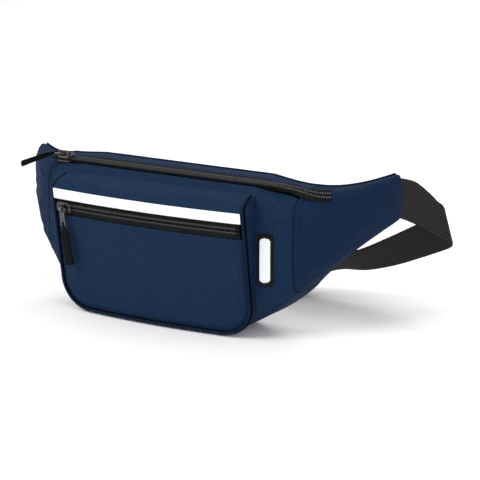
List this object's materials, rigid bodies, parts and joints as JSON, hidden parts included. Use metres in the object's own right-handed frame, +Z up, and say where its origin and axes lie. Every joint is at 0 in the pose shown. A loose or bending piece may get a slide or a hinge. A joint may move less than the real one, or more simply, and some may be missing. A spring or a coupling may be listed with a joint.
{
  "type": "waist bag",
  "caption": "Fabric waist bag: zipped main compartment with tapered wings, piped front pocket with its own zip and white strip, webbing belt with side-release buckle.",
  "frame": {"origin": "on the floor, under the middle of the bag's base", "axes": "+X along the bag to the wing with the label, +Y back towards the wearer (the pocket faces -Y), +Z up"},
  "size_m": [0.3434, 0.1695, 0.1207],
  "materials": {
    "navy_fabric": "woven polyester, coated inside",
    "zip_tape": "woven tape, matt",
    "zip_coil": "nylon coil, satin",
    "gunmetal": "dark electroplated, satin",
    "white_strip": "smooth coated tape",
    "white_label": "smooth printed satin",
    "grey_webbing": "ribbed polypropylene webbing",
    "black_plastic": "moulded, fine grain"
  },
  "bodies": {
    "bag": {"front_panel": "navy_fabric", "bottom_panel": "navy_fabric", "top_back_strip": "navy_fabric", "right_wing_panel": "navy_fabric", "left_wing_panel": "navy_fabric", "back_panel": "navy_fabric", "main_zip_tape_front": "zip_tape", "main_zip_tape_back": "zip_tape", "main_zip_coil_front": "zip_coil", "main_zip_coil_back": "zip_coil", "pocket_face_lower": "navy_fabric", "front_zip_tape_lower": "zip_tape", "front_zip_tape_upper": "zip_tape", "pocket_face_upper": "navy_fabric", "reflective_strip": "white_strip", "front_zip_coil_lower": "zip_coil", "front_zip_coil_upper": "zip_coil", "pocket_gusset": "navy_fabric", "pocket_piping": "navy_fabric", "side_label_backing": "zip_tape", "side_label_patch": "white_label", "belt_webbing_right": "grey_webbing", "belt_webbing_left": "grey_webbing", "buckle_female": "black_plastic", "buckle_male": "black_plastic"},
    "main_slider": {"main_slider": "gunmetal"},
    "main_pull": {"main_pull_tab": "gunmetal"},
    "main_ribbon": {"main_pull_ribbon": "zip_tape"},
    "front_slider": {"front_slider": "gunmetal"},
    "front_pull": {"front_pull_tab": "gunmetal"},
    "front_ribbon": {"front_pull_ribbon": "zip_tape"},
    "prong_back": {"buckle_prong_back": "black_plastic"},
    "prong_front": {"buckle_prong_front": "black_plastic"}
  },
  "joints": [
    {"name": "main_slider_travel", "type": "slide", "parent": "bag", "child": "main_slider", "axis": [1, 0, 0], "range_m": [0, 0.17]},
    {"name": "main_pull_swing", "type": "hinge", "parent": "main_slider", "child": "main_pull", "pos_m": [-0.0961, -0.00569, 0.11883], "axis": [0, 0.9781, 0.2079], "range_deg": [0, 150]},
    {"name": "main_ribbon_swing", "type": "hinge", "parent": "main_pull", "child": "main_ribbon", "pos_m": [-0.1042, -0.00563, 0.11855], "axis": [0, 0.9781, 0.2079], "range_deg": [0, 60]},
    {"name": "front_slider_travel", "type": "hinge", "parent": "bag", "child": "front_slider", "pos_m": [-0.003, 0.66741, 0.0848], "axis": [0, 0, 1], "range_deg": [0, 11.4]},
    {"name": "front_pull_lift", "type": "hinge", "parent": "front_slider", "child": "front_pull", "pos_m": [-0.07589, -0.04075, 0.08422], "axis": [-0.9911, 0.1066, -0.0791], "range_deg": [0, 110]},
    {"name": "front_ribbon_swing", "type": "hinge", "parent": "front_pull", "child": "front_ribbon", "pos_m": [-0.07479, -0.04011, 0.07128], "axis": [-0.9877, 0.1108, -0.1108], "range_deg": [0, 60]},
    {"name": "prong_back_press", "type": "hinge", "parent": "bag", "child": "prong_back", "pos_m": [0.0001, 0.1122, 0.0052], "axis": [0, 0, 1], "range_deg": [0, 8], "stiffness_Nm_per_rad": 0.5},
    {"name": "prong_front_press", "type": "hinge", "parent": "bag", "child": "prong_front", "pos_m": [0.0001, 0.0898, 0.0052], "axis": [0, 0, 1], "range_deg": [-8, 0], "stiffness_Nm_per_rad": 0.5}
  ],
  "couplings": [
    {"joint": "prong_front_press", "follows": "prong_back_press", "ratio": -1}
  ]
}
